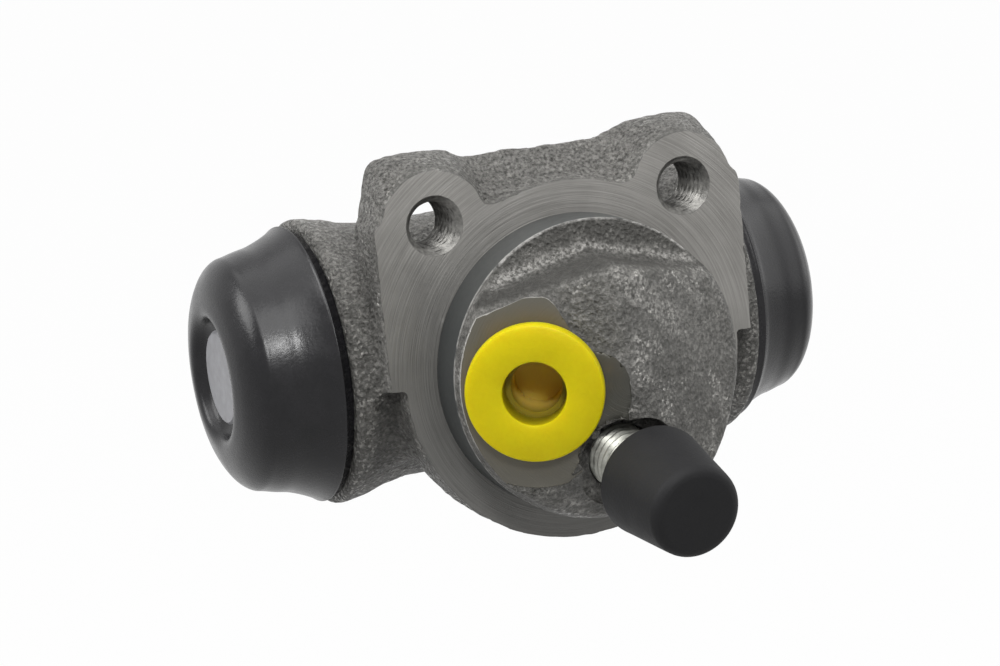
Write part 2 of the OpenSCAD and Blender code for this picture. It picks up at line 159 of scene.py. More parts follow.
# casting, in millimetres and degrees; the scales turn a slanted plane's value into a distance,
# soft holds the widths of the rounded joins and edges, grainSizes the weights and sizes of the sand
castBody = dict(
    boreR=9.525, boreDepth=19.0, boreRise=0.8, barrelR=14.3, collarR=15.93, collarL=9.0, barrelHalf=24.0,
    neckR=12.2, neckEnd=28.5, neckBevel=0.6,
    ringR=19.5, flangeT=7.0, faceStock=1.0, earHalf=21.2, earTop=24.12, earTaper=2.1, earStep=1.2, lobeR=5.8,
    castDraft=2.8, webTop=23.4, sideScale=0.97, webScale=0.73, topScale=0.97,
    boltX=14.5, boltRise=16.9, boltMouthR=3.2, boltPast=2.5, spigotR=16.0, spigotH=5.0, spigotStock=1.0,
    ridgeH=15.4, ridgeRound=1.8, ridgeLift=0.35, roofAngle=27.5, roofLean=9.0, roofDrop=5.0, lowerRimH=7.5,
    blockR=15.7, blockTop=12.3, edgeFall=16.0, inletFall=11.0,
    inletX=-9.1, inletH=10.3, inletLean=26.8, portR=4.5, portDepth=10.0, portBevel=0.5,
    padCorners=[(-10.3, 6.3667), (0, 9.8), (2.156, 9.506), (3.038, 8.428), (5.194, 4.018), (5.194, -4.982),
                (1.96, -10.6), (-10.3, -10.6)],
    padReach=10.3, padDepth=12.0, padStock=0.5, padGap=0.25, bulgeU=5.974, bulgeZ=-0.5, bulgeR=4.017,
    bleedRise=-7.5, bleedLean=8.0, bleedSeatH=9.6, pocketR=5.5, bleedHoleR=3.6, bleedGrip=11.2,
    soft=dict(barrelEnd=0.9, lobeTop=1.0, lobeSide=0.8, earTop=1.0, ring=1.9, ear=0.6, web=1.0,
              flangeBack=1.4, barrel=3.0, spigot=1.0, ridge=1.2, top=1.6, low=1.5, rim=0.8, block=3.4,
              pad=0.5, padCorner=0.4, cuts=0.8),
    grain=0.045, grainSizes=((0.5, 3.1), (0.7, 1.3), (1.0, 0.85)), grainBand=0.8, grainSeed=7, latticeSize=48,
    coarser=0.5, coarserFrom=(0, 2), calm=0.8, calmFrom=(22.0, 23.5),
    low=(-29.3, -16.9, -20.7), high=(29.3, 35.9, 25.7), cell=0.42)


# across the inlet axis and out along it, for arrays and for wires
def inletPlace(x, y, b):
    lean = np.radians(b["inletLean"])
    px, py = x - b["inletX"], y + b["inletH"]
    return px * np.cos(lean) - py * np.sin(lean), px * -np.sin(lean) - py * np.cos(lean)


# the casting's finish
iron = dict(
    # noises: scale, detail and roughness
    slow=(0.13, 4, 0.6), grit=(0.95, 5, 0.68), sand=(2.7, 4, 0.7), patch=(0.28, 2, 0.5), lay=(1.0, 3, 0.65),
    pits=1.9, facets=3.3, layPitch=7.0, layDrift=0.1,
    # shares of the noises in the tones and in the height
    sandMix=dict(slow=0.2, grit=0.35, sand=0.45), cutMix=dict(lay=0.65, slow=0.35),
    heights=dict(grit=0.6, sand=0.5, pits=0.35, lay=0.07), bump=0.7, behindBump=1.2,
    # millimetres between which a mask fades
    skin=(0.03, 0.06), front=(0.05, 0.07), wall=(5.1, 5.2), spotEdge=(10.4, 10.5), behind=(0.4, 1.6),
    collar=(21.2, 22.4), streakWidth=(0.5, 2.0), streakOut=(8.5, 9.5), streakFrom=(-1.5, 0.5),
    streakTo=(6.5, 9.0), cornerDeep=(1.5, 4.5), cornerHigh=(9, 15), cornerWide=(17, 20),
    nookWidth=(0.3, 0.9), nookOut=(5.6, 6.4), recessOut=(5.1, 5.5), recessEdge=(15.6, 15.9),
    crestWidth=(0.5, 1.2), crestHigh=(2, 6), crestEdge=(15.4, 15.7), rimWidth=(0.1, 0.3),
    lipWidth=(0.08, 0.3), lipAcross=(2.4, 3.4), lipEdge=(7.4, 7.8), lipHigh=(-7, -5),
    paleHigh=(7, 17), shadeAcross=(4, 8.5), stainEdge=(7.2, 9.8), filmFade=(-7, 11),
    # where the marks are
    streakX=-0.4, streakZ=11.4, streakTurn=48.16, cornerY=5.0, nookRise=0.25, crestOut=6.3, lipDrop=0.14,
    filmX=0.38, filmZ=0.8, filmSway=8.0,
    # noise between which a mark fades
    patchy=(0.47, 0.64), glinting=(0.66, 0.8), streakGrit=(0.42, 0.62), paleGrit=(0.36, 0.6),
    crestGrit=(0.4, 0.66), stainCloud=(0.35, 0.65), rimGrit=(0.3, 0.6), glintBehind=0.5, glintCollar=0.4,
    # stops (place, colour) and layers (strength, colour)
    sandTones=[(0.34, (0.03, 0.029, 0.026)), (0.5, (0.102, 0.1, 0.093)), (0.66, (0.25, 0.244, 0.229))],
    cutTones=[(0.3, (0.138, 0.134, 0.125)), (0.7, (0.282, 0.275, 0.26))],
    # of the layers below, the glints (partly bright metal), the streak, the paler tops, the crest, the lip
    # and the rim are painted highlights; the corners, nooks and recess, the lower left of the face, one side
    # of the spot face and the turned wall get painted shade
    glint=(0.45, (0.42, 0.41, 0.385)), highlightStreak=(0.3, (0.36, 0.35, 0.33)), paintedTopLight=(0.3, (0.4, 0.39, 0.37)),
    cornerShade=(0.5, (0.03, 0.029, 0.027)), crestHighlight=(0.75, (0.4, 0.39, 0.37)), shade=(1.0, (0.035, 0.034, 0.031)),
    nookShade=0.75, recessShade=0.45, lip=(0.75, (0.46, 0.45, 0.42)), rim=(0.75, (0.5, 0.49, 0.47)),
    lowShade=(0.65, (0.085, 0.085, 0.081)), spot=(0.9, (0.092, 0.087, 0.072)),
    spotShade=(0.6, (0.026, 0.028, 0.025)), stain=(0.45, (0.13, 0.096, 0.048)),
    turned=(0.85, (0.044, 0.049, 0.05)),
    rough=0.48, cutSmoother=0.08, glintSmoother=0.2, roughSpread=0.2,
    metal=0.15, cutMetal=0.35, glintMetal=0.5, shine=0.2)


# where the casting is machined, worn or dirty
def ironMasks(place, b, f):
    x, y, z = place.axes()
    wide, out = abs(x), 0 - y
    radius = (x * x + z * z) ** 0.5
    across, rise = inletPlace(x, y, b)
    bossR = (across * across + z * z) ** 0.5
    inFront = out.ramp(*f["front"])
    faced = y.near(*f["skin"])
    # the spigot's turned wall: machined, and darkened by painted shade in cutTone
    turned = (radius - b["spigotR"]).near(*f["skin"]) * (out.below(*f["wall"]) * inFront)
    spot = rise.near(*f["skin"]) * inFront * bossR.below(*f["spotEdge"])
    collar = wide.ramp(*f["collar"])
    # a painted highlight streak runs down the block from the crest
    turn = np.radians(f["streakTurn"])
    highlightStreak = ((x - f["streakX"]) * np.cos(turn) + (z - f["streakZ"]) * np.sin(turn)).near(*f["streakWidth"])
    highlightStreak = highlightStreak * out.ramp(*f["streakOut"]) * x.ramp(*f["streakFrom"]) * x.below(*f["streakTo"])
    # painted shade in the corners between ears and barrel, in the recess round the block and under its top
    # wall
    corner = (y - f["cornerY"]).near(*f["cornerDeep"]) * z.below(*f["cornerHigh"])
    corner = corner * wide.ramp(*f["cornerWide"]) * (1 - collar)
    fall = wide * np.tan(np.radians((b["edgeFall"] + b["inletFall"]) / 2))
    nook = (z + fall - b["blockTop"] - f["nookRise"]).near(*f["nookWidth"]) * out.ramp(*f["nookOut"])
    recess = out.below(*f["recessOut"]) * inFront * radius.below(*f["recessEdge"])
    # painted highlights on the block's crest, the spigot's turned corner and the lip of the spot face
    crestHighlight = (out - f["crestOut"]).near(*f["crestWidth"]) * z.ramp(*f["crestHigh"])
    crestHighlight = crestHighlight * radius.below(*f["crestEdge"])
    rim = (radius - b["spigotR"]).near(*f["rimWidth"]) * (y + b["spigotH"]).near(*f["rimWidth"])
    lip = (rise + f["lipDrop"]).near(*f["lipWidth"]) * inFront * across.below(*f["lipAcross"])
    lip = lip * bossR.ramp(*f["lipEdge"]) * z.ramp(*f["lipHigh"])
    return dict(cut=faced.larger(turned).larger(spot), turned=turned, spot=spot, behind=y.ramp(*f["behind"]),
                collar=collar, highlightStreak=highlightStreak, corner=corner, nook=nook, recess=recess,
                crestHighlight=crestHighlight, rim=rim, lip=lip, high=z.ramp(*f["paleHigh"]),
                spotShade=across.ramp(*f["shadeAcross"]), stain=bossR.below(*f["stainEdge"]),
                tilt=z * f["filmZ"] + x * f["filmX"],
                rings=radius.node("ShaderNodeCombineXYZ", {}, {
                    0: radius * f["layPitch"], 1: x * f["layDrift"], 2: z * f["layDrift"]}))


# noises weighted by their shares
def mixture(noises, shares):
    return sum(noises[name] * share for name, share in shares.items())


# sand cast skin: small pits with bright facets (their lighter tone partly a painted glint) and a slow change
# of tone;
# over it lie painted light paler on top behind the face, painted highlights on the streak, the crest and the
# lip, and painted shade in the corners, nooks and recess
def sandTone(m, n, glint, f):
    tone = mixture(n, f["sandMix"]).toned(f["sandTones"])
    tone = glint.tinted(tone, f["glint"])
    tone = (m["highlightStreak"] * n["sand"].ramp(*f["streakGrit"])).tinted(tone, f["highlightStreak"])
    tone = (m["behind"] * m["high"] * n["sand"].ramp(*f["paleGrit"])).tinted(tone, f["paintedTopLight"])
    tone = (m["behind"] * m["corner"]).tinted(tone, f["cornerShade"])
    tone = (m["crestHighlight"] * n["sand"].ramp(*f["crestGrit"])).tinted(tone, f["crestHighlight"])
    tone = (m["nook"] * f["nookShade"]).larger(m["recess"] * f["recessShade"]).tinted(tone, f["shade"])
    return (m["lip"] * (1 - m["cut"])).tinted(tone, f["lip"])


# machined faces: fine rings about the spigot axis, with painted shade towards the lower left and on the
# turned wall;
# the spot face has its own darker tone, a stain and painted shade on one side
def cutTone(m, n, f):
    lowShade = (m["tilt"] + (n["slow"] - noiseMiddle) * f["filmSway"]).below(*f["filmFade"])
    tone = lowShade.tinted(mixture(n, f["cutMix"]).toned(f["cutTones"]), f["lowShade"])
    tone = m["spot"].tinted(tone, f["spot"])
    tone = (m["spot"] * m["spotShade"]).tinted(tone, f["spotShade"])
    tone = (m["spot"] * m["stain"] * n["slow"].ramp(*f["stainCloud"])).tinted(tone, f["stain"])
    return m["turned"].tinted(tone, f["turned"])


# the whole finish; the facets glint behind the face, on the streak and in patches: they are more metallic and
# smoother, and their lighter tone is partly a painted glint
def castIron(b, f):
    made, shader, place = newMaterial("castIron")
    m = ironMasks(place, b, f)
    n = {name: place.noise(*f[name]) for name in ("slow", "grit", "sand")}
    n["pits"] = place.cells(f["pits"], "Distance")
    n["lay"] = m["rings"].noise(*f["lay"])
    cut, raw = m["cut"], 1 - m["cut"]
    glint = m["behind"] * (m["collar"] * f["glintCollar"] + f["glintBehind"])
    glint = place.noise(*f["patch"]).ramp(*f["patchy"]).larger(m["highlightStreak"]).larger(glint)
    glint = place.cells(f["facets"], "Color").ramp(*f["glinting"]) * glint
    tone = cut.mixed(sandTone(m, n, glint, f), cutTone(m, n, f))
    height = mixture(n, {name: f["heights"][name] for name in ("grit", "sand", "pits")})
    height = height * raw * (m["behind"] * f["behindBump"] + 1) + n["lay"] * f["heights"]["lay"] * cut
    # the rim layer is a painted highlight along the spigot's turned corner
    feed(shader, {
        "Base Color": (m["rim"] * n["grit"].ramp(*f["rimGrit"])).tinted(tone, f["rim"]),
        "Roughness": (f["rough"] - cut * f["cutSmoother"] - glint * f["glintSmoother"] * raw
                      + (n["grit"] - noiseMiddle) * f["roughSpread"]),
        "Metallic": cut * f["cutMetal"] + f["metal"] + glint * raw * f["glintMetal"],
        "Specular IOR Level": f["shine"],
        "Normal": height.bumped(f["bump"])})
    return made


# plain metal with faint lines of tone, which also change its roughness a little
metalGrain = dict(detail=3, rough=0.6, toneFrom=0.3, toneTo=0.7, roughSpread=0.2)


def plainMetal(name, dark, light, rough, metal, scale, depth, g=metalGrain):
    made, shader, place = newMaterial(name)
    lines = place.noise(scale, g["detail"], g["rough"])
    feed(shader, {
        "Base Color": lines.toned([(g["toneFrom"], dark), (g["toneTo"], light)]),
        "Roughness": (lines - noiseMiddle) * g["roughSpread"] + rough,
        "Metallic": metal,
        "Normal": lines.bumped(depth)})
    return made


# rubber with a cloudy tone and fine dust
rubberGrain = dict(cloud=(0.35, 4, 0.6), dust=(3.0, 3, 0.6), dustShare=0.3, toneFrom=0.3, toneTo=0.75,
                   cloudRough=0.25, dustRough=0.12, cloudHeight=0.5, coatRough=0.3)


def rubber(name, dark, light, rough, coat, depth, shine, g=rubberGrain):
    made, shader, place = newMaterial(name)
    cloud = place.noise(*g["cloud"])
    dust = place.noise(*g["dust"])
    tone = cloud * (1 - g["dustShare"]) + dust * g["dustShare"]
    wear = (cloud - noiseMiddle) * g["cloudRough"] + (dust - noiseMiddle) * g["dustRough"]
    feed(shader, {
        "Base Color": tone.toned([(g["toneFrom"], dark), (g["toneTo"], light)]),
        "Roughness": wear + rough,
        "Specular IOR Level": shine,
        "Coat Weight": coat,
        "Coat Roughness": g["coatRough"],
        "Normal": (dust + cloud * g["cloudHeight"]).bumped(depth)})
    return made


# yellow plastic with painted shade darkening the mouth of the hollow, and amber deep inside; hollow holds
# squared radii
plastic = dict(
    cloud=(0.3, 3, 0.5), mottle=(2.4, 3, 0.6), mottleShare=0.3, mottleRough=0.16, bump=0.04,
    tones=[(0.3, (0.43, 0.36, 0.002)), (0.7, (0.49, 0.415, 0.003))], hollow=(10.6, 11.4), deep=(0.6, 5.0),
    mouth=(1.0, (0.17, 0.135, 0.003)), amber=(0.9, (0.85, 0.61, 0.12)), rough=0.36, shine=0.12,
    scatter=0.45, scatterRadius=(0.004, 0.0022, 0.0003), scatterScale=1.0)


def plugPlastic(b, p):
    made, shader, place = newMaterial("plugPlastic")
    x, y, z = place.axes()
    across, rise = inletPlace(x, y, b)
    cloud = place.noise(*p["cloud"])
    mottle = place.noise(*p["mottle"])
    tone = cloud * (1 - p["mottleShare"]) + mottle * p["mottleShare"]
    hollow = (across * across + z * z).below(*p["hollow"])
    tone = hollow.tinted(tone.toned(p["tones"]), p["mouth"])
    feed(shader, {
        "Base Color": (hollow * (0 - rise).ramp(*p["deep"])).tinted(tone, p["amber"]),
        "Roughness": mottle * p["mottleRough"] + p["rough"],
        "Specular IOR Level": p["shine"],
        "Subsurface Weight": p["scatter"],
        "Subsurface Radius": p["scatterRadius"],
        "Subsurface Scale": p["scatterScale"],
        "Normal": mottle.bumped(p["bump"])})
    return made


# a piece from points in millimetres and faces, with its body, the node it stands for and the angle past which
# edges stay sharp
def putMesh(name, surface, material, body, node, smoothAngle):
    verts, faces = surface
    mesh = bpy.data.meshes.new(name)
    mesh.from_pydata((np.asarray(verts) * mm).tolist(), [], np.asarray(faces).tolist())
    mesh.validate()
    mesh.update()
    mesh.polygons.foreach_set("use_smooth", np.ones(len(mesh.polygons), bool))
    mesh.set_sharp_from_angle(angle=np.radians(smoothAngle))
    made = bpy.data.objects.new(name, mesh)
    bpy.context.scene.collection.objects.link(made)
    mesh.materials.append(material)
    if body:
        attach(made, body)
    if node:
        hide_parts(node)
    print("piece:", name, len(mesh.vertices), "points")
    return made


# A ring of points for every step of a path, joined into quads; the path closes on itself
def closedGrid(grid):
    rows, cols = grid.shape[:2]
    i, j = np.meshgrid(np.arange(rows), np.arange(cols), indexing="ij")
    i2, j2 = (i + 1) % rows, (j + 1) % cols
    faces = np.stack([i * cols + j, i * cols + j2, i2 * cols + j2, i2 * cols + j], -1).reshape(-1, 4)
    return grid.reshape(-1, 3), faces


# 0 below low, 1 above high, and a cubic with level ends between
def smoothStep(v, low, high):
    t = np.clip((v - low) / (high - low), 0, 1)
    return t * t * (3 - 2 * t)


# Smooth path through the given points: each span is a cubic whose slopes come from the two neighbours
def smoothPath(points, steps):
    p = np.array(points, float)
    before = np.concatenate([p[:1], p[:-1]])[:-1]
    after = np.concatenate([p[1:], p[-1:]])[1:]
    a, b = p[:-1], p[1:]
    t = (np.arange(steps) / steps)[None, :, None]
    slopeA, slopeB = (b - before)[:, None] / 2, (after - a)[:, None] / 2
    curve = (2 * t**3 - 3 * t**2 + 1) * a[:, None] + (t**3 - 2 * t**2 + t) * slopeA
    curve = curve + (3 * t**2 - 2 * t**3) * b[:, None] + (t**3 - t**2) * slopeB
    return np.concatenate([curve.reshape(-1, 2), p[-1:]])


# angles once round, without the last
def fullTurn(around):
    return np.linspace(0, 2 * np.pi, around, endpoint=False)


# Round shape: steps s along an axis, each with one radius or with a radius for every angle;
# out is the frame of the axis: origin, along, side and up
def roundGrid(s, r, angle, out):
    origin, along, side, up = (np.array(v, float) for v in out)
    ring = np.cos(angle)[:, None] * side + np.sin(angle)[:, None] * up
    return origin + s[:, None, None] * along + r[..., None] * ring


# Closed profile of points (along, radius): a smooth path outside and straight spans inside
def closedProfile(b):
    return np.concatenate([smoothPath(b["outer"], b["steps"]), np.array(b["inner"])])


# Turned shape: a closed profile carried round the axis
def turnedSurface(profile, around, out):
    s, r = np.array(profile, float).T
    return closedGrid(roundGrid(s, r[:, None], fullTurn(around), out))


# Thread depth from 0 to 1: a triangle wave of the distance along less the turn, steepened and cut flat
def threadWave(along, angle, b):
    wave = np.abs(((along[:, None] / b["pitch"] - angle[None] / (2 * np.pi)) % 1) * 2 - 1)
    return np.clip(wave * b["steep"] - b["flat"], 0, 1)


# frames of the turned pieces: origin, along, side and up
def boreFrame(sign, b=castBody):
    return (0, b["boreDepth"], b["boreRise"]), (sign, 0, 0), (0, 1, 0), (0, 0, sign)


def boltFrame(sign, b=castBody):
    return (sign * b["boltX"], 0, b["boltRise"]), (0, 1, 0), (1, 0, 0), (0, 0, 1)


def bleedFrame(b=castBody):
    lean = np.radians(b["bleedLean"])
    along = np.array([0, -np.cos(lean), -np.sin(lean)])
    seat = np.array([0, 0, b["bleedRise"]]) + along * b["bleedSeatH"]
    return seat, along, (1, 0, 0), np.cross(along, (1, 0, 0))


def inletFrame(b=castBody):
    lean = np.radians(b["inletLean"])
    along = np.array([-np.sin(lean), -np.cos(lean), 0])
    return (b["inletX"], -b["inletH"], 0), along, np.cross((0, 0, 1), along), (0, 0, 1)


# Minimum with a rounded valley: less a quarter of k times the squared closeness
def softMin(a, b, k):
    h = np.maximum(k - np.abs(a - b), 0) / k
    return np.minimum(a, b) - h * h * k / 4


# Maximum with a rounded crest: the soft minimum turned over
def softMax(a, b, k):
    return -softMin(-a, -b, k)


lattice = np.random.default_rng(castBody["grainSeed"]).random((castBody["latticeSize"],) * 3) * 2 - 1


# Value noise: random numbers on a lattice, blended by smooth weights between the eight corners
def latticeNoise(x, y, z, size):
    count = len(lattice)
    out = np.zeros_like(x)
    q = [v / size for v in (x, y, z)]
    i = [np.floor(v).astype(np.int32) for v in q]
    f = [smoothStep(v - w, 0, 1) for v, w in zip(q, i)]
    for dx in (0, 1):
        for dy in (0, 1):
            for dz in (0, 1):
                weight = (f[0] if dx else 1 - f[0]) * (f[1] if dy else 1 - f[1]) * (f[2] if dz else 1 - f[2])
                out += weight * lattice[(i[0] + dx) % count, (i[1] + dy) % count, (i[2] + dz) % count]
    return out


# Sand grain: noises of several sizes, rougher behind the faced plane and calm at the barrel's trimmed ends
def sandGrain(x, y, z, b):
    depth = b["grain"] * (1 + b["coarser"] * smoothStep(y, *b["coarserFrom"]))
    depth *= 1 - b["calm"] * smoothStep(np.abs(x), *b["calmFrom"])
    return depth * sum(weight * latticeNoise(x, y, z, size) for weight, size in b["grainSizes"])


# Distance from the bore axis
def boreDistance(y, z, b):
    return np.hypot(y - b["boreDepth"], z - b["boreRise"])


# out along the bleed axis from the seat, and away from that axis
def bleedPlace(x, y, z, b):
    lean = np.radians(b["bleedLean"])
    pz = z - b["bleedRise"]
    out = -y * np.cos(lean) - pz * np.sin(lean) - b["bleedSeatH"]
    return out, np.hypot(x, y * np.sin(lean) - pz * np.cos(lean))


# Outline of the inlet pad on its own plane: a polygon with softened corners and a round-ended bulge
def padOutline(u, z, b):
    corners = b["padCorners"]
    edge = np.full_like(u, -b["padReach"])
    for (u0, z0), (u1, z1) in zip(corners[:-1], corners[1:]):
        side = ((z - z0) * (u1 - u0) - (u - u0) * (z1 - z0)) / np.hypot(u1 - u0, z1 - z0)
        edge = softMax(edge, side, b["soft"]["padCorner"])
    past = np.where(u > b["bulgeU"], u - b["bulgeU"], np.maximum(-u, 0))
    return np.minimum(edge, np.hypot(past, z - b["bulgeZ"]) - b["bulgeR"])


# Barrel: distance from the bore axis less a radius that swells to the collar, cut off at both ends
def barrelForm(x, y, z, b):
    ax = np.abs(x)
    swell = smoothStep(ax, b["barrelHalf"] - b["collarL"], b["barrelHalf"])
    wallR = b["barrelR"] + (b["collarR"] - b["barrelR"]) * swell
    return softMax(boreDistance(y, z, b) - wallR, ax - b["barrelHalf"], b["soft"]["barrelEnd"])


# Flange: outline of ring, round ear lobes, ear sides and web, widened towards the back, between two planes
def flangeForm(x, y, z, b):
    k = b["soft"]
    ax = np.abs(x)
    w = np.clip(y / b["flangeT"], 0, 1)
    lean = b["earTaper"] / (b["earTop"] - b["boltRise"])
    sides = (ax - b["earHalf"] + lean * np.maximum(z - b["boltRise"], 0)) * b["sideScale"]
    lobe = np.hypot(ax - b["boltX"], z - b["boltRise"]) - b["lobeR"] - b["castDraft"] * w
    lobe = softMax(softMax(lobe, z - b["earTop"], k["lobeTop"]), sides, k["lobeSide"])
    ear = softMax(np.maximum(sides, -z), z - b["boltRise"] - b["earStep"], k["earTop"])
    webZ = b["boltRise"] + (b["webTop"] - b["boltRise"]) * w
    web = np.maximum(np.maximum((z - webZ) * b["webScale"], ax - b["boltX"]), -z)
    outline = softMin(np.hypot(x, z) - b["ringR"], lobe, k["ring"])
    outline = softMin(softMin(outline, ear, k["ear"]), web, k["web"])
    return np.maximum(softMax(outline, y - b["flangeT"], k["flangeBack"]), -b["faceStock"] - y)


# Block: gabled roof that leans back, top wall that falls away to both sides, lower slope and round rim
def blockForm(x, y, z, b):
    k = b["soft"]
    gable, lean = np.radians(b["roofAngle"]), np.radians(b["roofLean"])
    back = (y + b["ridgeH"]) * np.cos(lean) - z * np.sin(lean)
    rise = (np.hypot(x, b["ridgeRound"]) - b["ridgeLift"]) * np.tan(gable)
    roof = softMax(rise - y - b["ridgeH"], rise - back, k["ridge"]) * np.cos(gable)
    falls = np.tan(np.radians(np.where(x > 0, b["edgeFall"], b["inletFall"])))
    top = (z - b["blockTop"] + np.abs(x) * falls) * b["topScale"]
    dy, dz = b["ridgeH"] - b["lowerRimH"], b["spigotR"] - b["roofDrop"]
    low = (-dz * (y + b["ridgeH"]) - dy * (z + b["roofDrop"])) / np.hypot(dy, dz)
    block = softMax(softMax(roof, top, k["top"]), low, k["low"])
    return softMax(block, np.hypot(x, z) - b["blockR"], k["rim"])


# Inlet pad: its outline carried along the inlet axis
def padForm(x, y, z, b):
    u, s = inletPlace(x, y, b)
    return np.maximum(padOutline(u, z, b), np.maximum(s - b["padStock"], -s - b["padDepth"]))


# Raw casting: barrel, flange, spigot, block and inlet pad joined by soft minima
def rawCasting(x, y, z, b):
    k = b["soft"]
    stub = np.maximum(np.hypot(x, z) - b["spigotR"] - b["spigotStock"], y - b["flangeT"] / 2)
    cast = softMin(barrelForm(x, y, z, b), flangeForm(x, y, z, b), k["barrel"])
    cast = softMin(cast, np.maximum(stub, -b["spigotH"] - y), k["spigot"])
    cast = softMin(cast, np.maximum(blockForm(x, y, z, b), stub), k["block"])
    return softMin(cast, np.maximum(padForm(x, y, z, b), stub), k["pad"])


# Machined casting: raw shape with sand grain, then facing, spot faces and holes taken off by sharp maxima
def bodyShape(x, y, z, b=castBody):
    shape = rawCasting(x, y, z, b)
    near = np.abs(shape) < b["grainBand"]
    if near.any():
        shape[near] += sandGrain(x[near], y[near], z[near], b)
    ax = np.abs(x)
    u, s = inletPlace(x, y, b)
    seatH, rBleed = bleedPlace(x, y, z, b)
    rBore = boreDistance(y, z, b)
    rBolt = np.hypot(ax - b["boltX"], z - b["boltRise"])
    facing = np.minimum(-y, np.hypot(x, z) - b["spigotR"])
    padCut = np.maximum(-s, padOutline(u, z, b) - b["padGap"])
    pocketCut = np.maximum(-seatH, rBleed - b["pocketR"])
    spots = softMin(padCut, pocketCut, b["soft"]["cuts"])  # softly joined, so no thin web stays between
    neck = np.maximum(rBore - b["neckR"], ax - b["neckEnd"])
    bore = rBore - b["boreR"] - np.maximum(0, ax - b["neckEnd"] + b["neckBevel"])
    bleedHole = np.maximum(rBleed - b["bleedHoleR"], -seatH - b["bleedGrip"])
    port = np.hypot(u, z) - b["portR"] - np.maximum(0, s + b["portBevel"])
    port = np.maximum(port, -s - b["portDepth"])
    boltHole = np.maximum(rBolt - b["boltMouthR"], y - b["flangeT"] - b["boltPast"])
    shape = np.minimum(np.maximum(np.maximum(shape, facing), -spots), neck)
    for hole in (bore, bleedHole, port, boltHole):
        shape = np.maximum(shape, -hole)
    return shape


# the shape's values on a lattice of points, worked out slab by slab
def sampled(shape, axes, slab=24):
    field = np.empty([len(axis) for axis in axes])
    for i in range(0, len(axes[0]), slab):
        g = np.meshgrid(axes[0][i:i + slab], axes[1], axes[2], indexing="ij")
        field[i:i + slab] = shape(*[v.ravel() for v in g]).reshape(g[0].shape)
    return field


# Crossings of the surface with the cells' edges along one axis: each is closed in on by false position
# and gets the shape's slope there; around holds the four cells that share the edge
def crossings(shape, field, low, cell, axis, rounds=2, keepOff=0.05, probe=0.01, tiny=1e-12):
    inside = field < 0
    here, there = [slice(None)] * 3, [slice(None)] * 3
    here[axis], there[axis] = slice(None, -1), slice(1, None)
    idx = np.argwhere(inside[tuple(here)] != inside[tuple(there)])
    units = np.eye(3, dtype=int)
    step, sideB, sideC = units[axis], units[(axis + 1) % 3], units[(axis + 2) % 3]
    f0, f1 = field[tuple(idx.T)], field[tuple((idx + step).T)]
    p0 = low + cell * idx
    t0, t1 = np.zeros(len(idx)), np.ones(len(idx))
    for again in range(rounds):
        t = t0 + (t1 - t0) * np.clip(f0 / (f0 - f1), keepOff, 1 - keepOff)
        f = shape(*(p0 + cell * t[:, None] * step).T.copy())
        same = (f < 0) == (f0 < 0)
        t0, f0 = np.where(same, t, t0), np.where(same, f, f0)
        t1, f1 = np.where(same, t1, t), np.where(same, f1, f)
    p = p0 + cell * (t0 + (t1 - t0) * f0 / (f0 - f1))[:, None] * step
    slope = [shape(*(p + probe * e).T.copy()) - shape(*(p - probe * e).T.copy()) for e in np.eye(3)]
    slope = np.stack(slope, 1)
    slope /= np.linalg.norm(slope, axis=1)[:, None] + tiny
    strides = np.array([field.shape[1] * field.shape[2], field.shape[2], 1])
    corners = ((0, 0), (1, 0), (1, 1), (0, 1))
    around = np.stack([(idx - m * sideB - n * sideC) @ strides for m, n in corners], 1)
    loops = np.where(inside[tuple(idx.T)][:, None], around, around[:, ::-1])
    return p, slope, around, loops


# Dual contouring: one vertex for each cell that the surface crosses, at the point that best fits
# the tangent planes of the crossings on its edges; one quad for each crossed edge
def contour(shape, low, high, cell, soften=0.03):
    low = np.array(low, float)
    counts = np.ceil((np.array(high) - low) / cell).astype(int) + 1
    field = sampled(shape, [low[i] + cell * np.arange(counts[i]) for i in range(3)])
    found = [crossings(shape, field, low, cell, axis) for axis in range(3)]
    p, g, cells, loops = (np.concatenate(column) for column in zip(*found))
    used, loops = np.unique(loops, return_inverse=True)
    where = np.searchsorted(used, cells)

    def gather(v):
        return sum(np.bincount(where[:, k], v, len(used)) for k in range(4))

    count = gather(np.ones(len(p)))
    middle = np.stack([gather(p[:, i]) for i in range(3)], 1) / count[:, None]
    offset = (p * g).sum(1)
    ata = np.stack([np.stack([gather(g[:, i] * g[:, j]) for j in range(3)], 1) for i in range(3)], 1)
    atb = np.stack([gather(g[:, i] * offset) for i in range(3)], 1)
    rest = atb - np.einsum("nij,nj->ni", ata, middle)
    ata += np.eye(3) * (soften * count)[:, None, None]
    verts = middle + np.linalg.solve(ata, rest[..., None])[..., 0]
    corner = np.stack(np.unravel_index(used, counts), 1) * cell + low
    return np.clip(verts, corner, corner + cell), loops.reshape(-1, 4)


casting = contour(bodyShape, castBody["low"], castBody["high"], castBody["cell"])
putMesh("casting", casting, castIron(castBody, iron),
        body="housing", node="cylinder_body", smoothAngle=38)

# tapped bolt holes: a sleeve whose inner wall is a screw thread
boltThread = dict(minorR=2.5, majorR=2.98, mouthR=3.19, outerR=3.24, pitch=1.0, steep=1.25, flat=0.12,
                  start=0.01, length=6.9, around=96, perTurn=12)
sleeveFinish = plainMetal("tappedIron", dark=(0.09, 0.088, 0.083), light=(0.2, 0.196, 0.184), rough=0.4,
                          metal=0.8, scale=1.6, depth=0.05)


